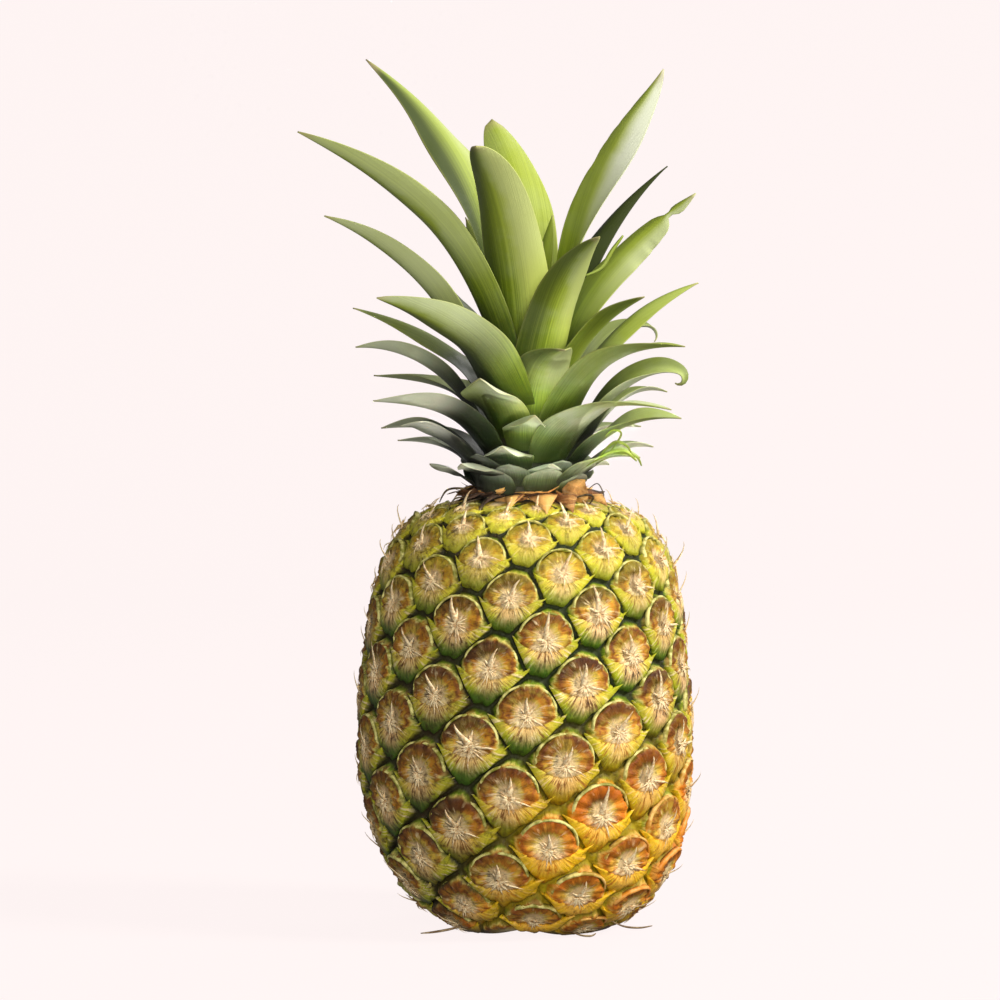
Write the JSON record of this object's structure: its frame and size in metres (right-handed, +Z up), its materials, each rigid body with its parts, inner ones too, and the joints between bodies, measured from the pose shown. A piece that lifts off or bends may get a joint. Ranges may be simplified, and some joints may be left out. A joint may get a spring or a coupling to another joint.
{
  "type": "pineapple",
  "caption": "Whole ripe pineapple standing on its base: barrel of bossed eyes with papery spikes, under a crown of pointed, channelled leaves.",
  "frame": {"origin": "middle of the flat spot that the fruit stands on, in the plane of the surface under it", "axes": "+Z up along the fruit towards the crown, -Y towards the camera of the picture, +X to the right as seen in the picture"},
  "size_m": [0.1555, 0.1361, 0.3394],
  "materials": {
    "rind": "waxy, semi-matt",
    "stalk": "dry cut fibre, matt",
    "crown_stem": "dry, matt",
    "young_leaf": "smooth, slightly waxy",
    "old_leaf": "waxy bloom, semi-matt"
  },
  "bodies": {
    "root": {"fruit": "rind", "cut_stalk": "stalk", "crown_stem": "crown_stem", "leaf_01": "old_leaf", "leaf_02": "old_leaf", "leaf_03": "old_leaf", "leaf_04": "old_leaf", "leaf_05": "old_leaf", "leaf_06": "old_leaf", "leaf_07": "old_leaf", "leaf_08": "old_leaf", "leaf_09": "old_leaf", "leaf_10": "old_leaf", "leaf_11": "old_leaf", "leaf_12": "old_leaf", "leaf_13": "old_leaf", "leaf_14": "old_leaf", "leaf_15": "old_leaf", "leaf_16": "old_leaf", "leaf_17": "old_leaf", "leaf_18": "old_leaf", "leaf_19": "old_leaf", "leaf_20": "old_leaf", "leaf_21": "old_leaf", "leaf_22": "young_leaf", "leaf_23": "young_leaf", "leaf_24": "young_leaf", "leaf_25": "young_leaf", "leaf_26": "young_leaf", "leaf_27": "young_leaf", "leaf_28": "young_leaf", "leaf_29": "young_leaf", "leaf_30": "young_leaf", "leaf_31": "young_leaf", "leaf_32": "young_leaf", "leaf_33": "young_leaf", "leaf_34": "young_leaf", "leaf_35": "young_leaf", "leaf_36": "young_leaf", "leaf_37": "young_leaf", "leaf_38": "young_leaf", "leaf_39": "young_leaf", "leaf_40": "young_leaf", "leaf_41": "young_leaf", "leaf_42": "young_leaf", "leaf_43": "young_leaf", "leaf_44": "young_leaf", "leaf_45": "young_leaf", "leaf_46": "young_leaf"}
  },
  "joints": []
}
